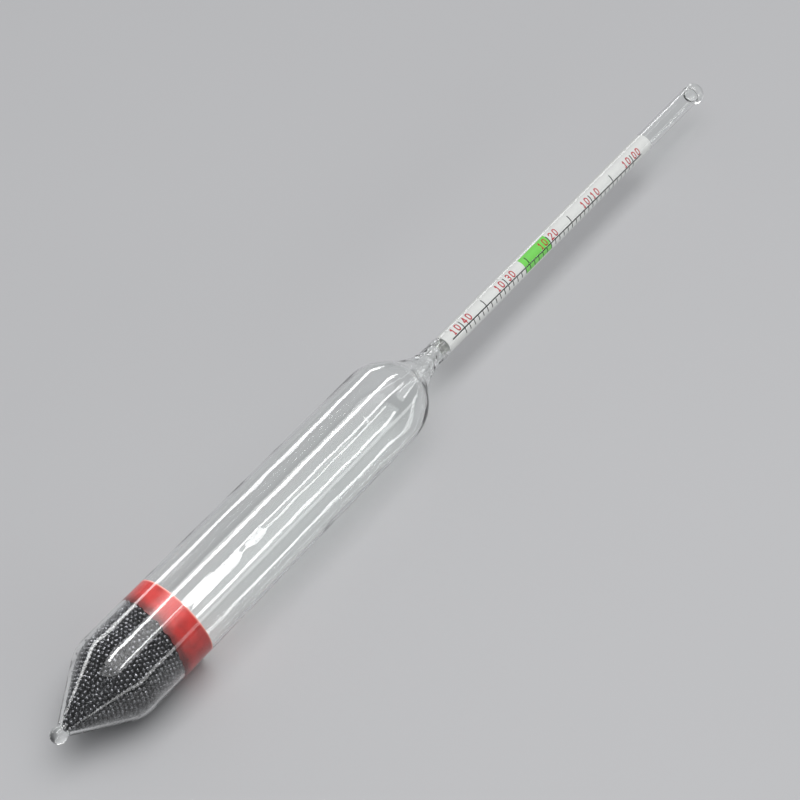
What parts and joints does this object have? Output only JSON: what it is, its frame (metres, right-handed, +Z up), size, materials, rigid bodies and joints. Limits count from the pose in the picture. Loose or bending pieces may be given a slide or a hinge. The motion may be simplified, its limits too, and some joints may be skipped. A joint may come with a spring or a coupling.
{
  "type": "hydrometer",
  "caption": "Sealed glass hydrometer lying on its side: shot-weighted bulb with conical tip under a red wax plug, and a narrow stem with a rolled paper gravity scale.",
  "frame": {"origin": "centre of the instrument's box, on the surface that the barrel rests on", "axes": "+X along the axis from the tip bead to the end of the stem, +Z up, the instrument lies on its barrel"},
  "size_m": [0.253, 0.02, 0.02],
  "materials": {
    "clear_glass": "clear thin blown glass, polished",
    "bead_glass": "clear thick glass with a faint green tint",
    "dark_shot": "glossy blackened metal shot",
    "red_wax": "semi-gloss sealing wax",
    "white_paper": "smooth matt paper",
    "black_ink": "matt printing ink",
    "red_ink": "matt printing ink",
    "green_ink": "matt printing ink"
  },
  "bodies": {
    "root": {"bulb_glass": "clear_glass", "tip_bead": "bead_glass", "neck_weld": "bead_glass", "stem_tube": "clear_glass", "stem_end_bead": "bead_glass", "shot_ballast": "dark_shot", "wax_plug": "red_wax", "scale_paper": "white_paper", "scale_ladder": "black_ink", "scale_numerals": "red_ink", "green_zone": "green_ink"}
  },
  "joints": []
}
